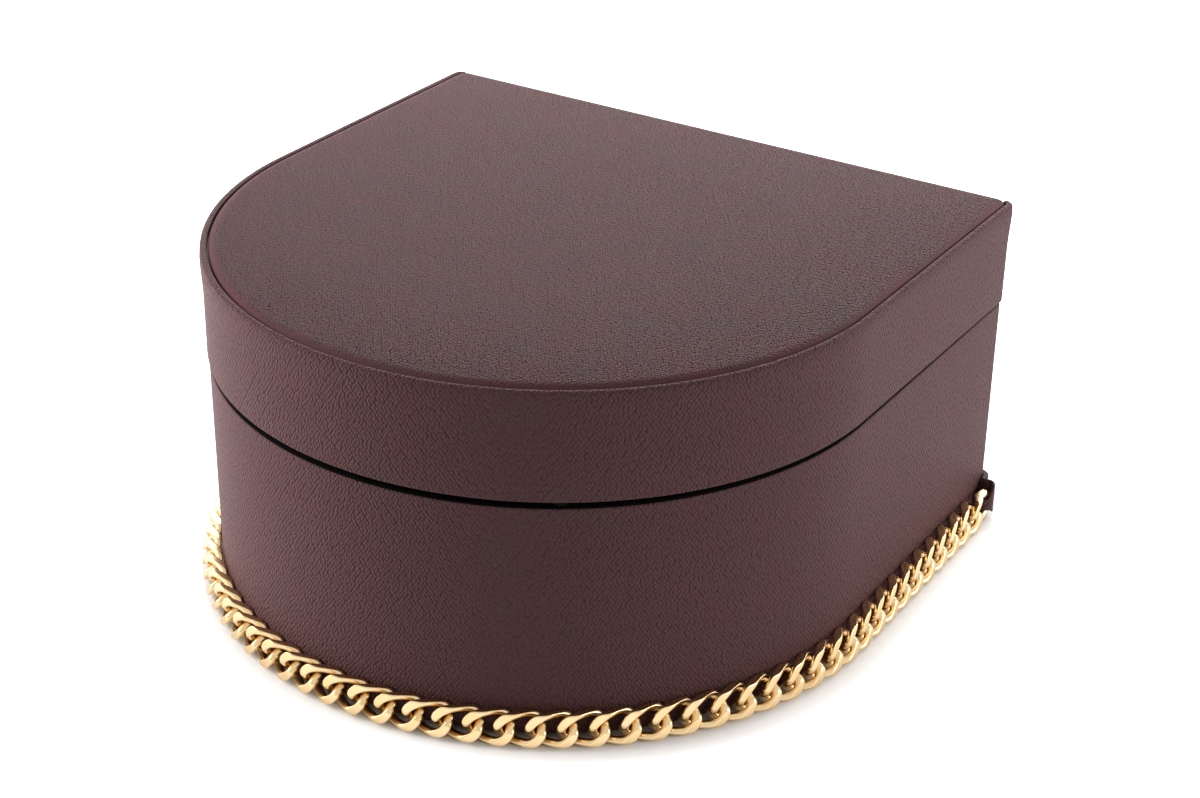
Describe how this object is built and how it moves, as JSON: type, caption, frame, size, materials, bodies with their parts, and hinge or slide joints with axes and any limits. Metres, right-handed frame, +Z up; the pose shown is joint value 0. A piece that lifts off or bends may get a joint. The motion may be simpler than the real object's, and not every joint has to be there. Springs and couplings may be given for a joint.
{
  "type": "decorative box",
  "caption": "D-shaped leather-covered keepsake box with a padded lid hinged at its flat back and a gold curb chain lying round its foot.",
  "frame": {"origin": "on the underside, which is the floor, under the centre of the half-round front's arc", "axes": "+X to the right, -Y towards the rounded front, +Y towards the flat hinged back, +Z up"},
  "size_m": [0.2751, 0.264, 0.1381],
  "materials": {
    "leather": "fine pebble grain, satin",
    "suede_lining": "short-nap suede",
    "foam": "matt foam",
    "underside_cloth": "matt cloth",
    "plywood": "sanded",
    "rubber": "matt",
    "gold_chain": "polished, with ground facets",
    "brass": "satin"
  },
  "bodies": {
    "base": {"base_back_board": "plywood", "base_curved_wall": "plywood", "base_floor_board": "plywood", "base_floor_pad": "suede_lining", "base_leather": "leather", "base_wall_lining": "suede_lining", "chain_end_links": "gold_chain", "chain_links": "gold_chain", "chain_tab_left": "leather", "chain_tab_right": "leather", "hinge_base_left": "brass", "hinge_base_right": "brass", "hinge_pin_left": "brass", "hinge_pin_right": "brass", "hinge_screws_base": "brass", "rim_bumpers": "rubber", "tab_screws": "brass", "underside_cover": "underside_cloth"},
    "lid": {"hinge_lid_left": "brass", "hinge_lid_right": "brass", "hinge_screws_lid": "brass", "lid_back_board": "plywood", "lid_ceiling_lining": "suede_lining", "lid_curved_wall": "plywood", "lid_leather": "leather", "lid_pad_board": "plywood", "lid_pad_foam": "foam", "lid_pad_leather": "leather", "lid_top_board": "plywood", "lid_wall_lining": "suede_lining"}
  },
  "joints": [
    {"name": "lid_hinge", "type": "hinge", "parent": "base", "child": "lid", "pos_m": [0, 0.12405, 0.0923], "axis": [-1, 0, 0], "range_deg": [0, 95]}
  ]
}
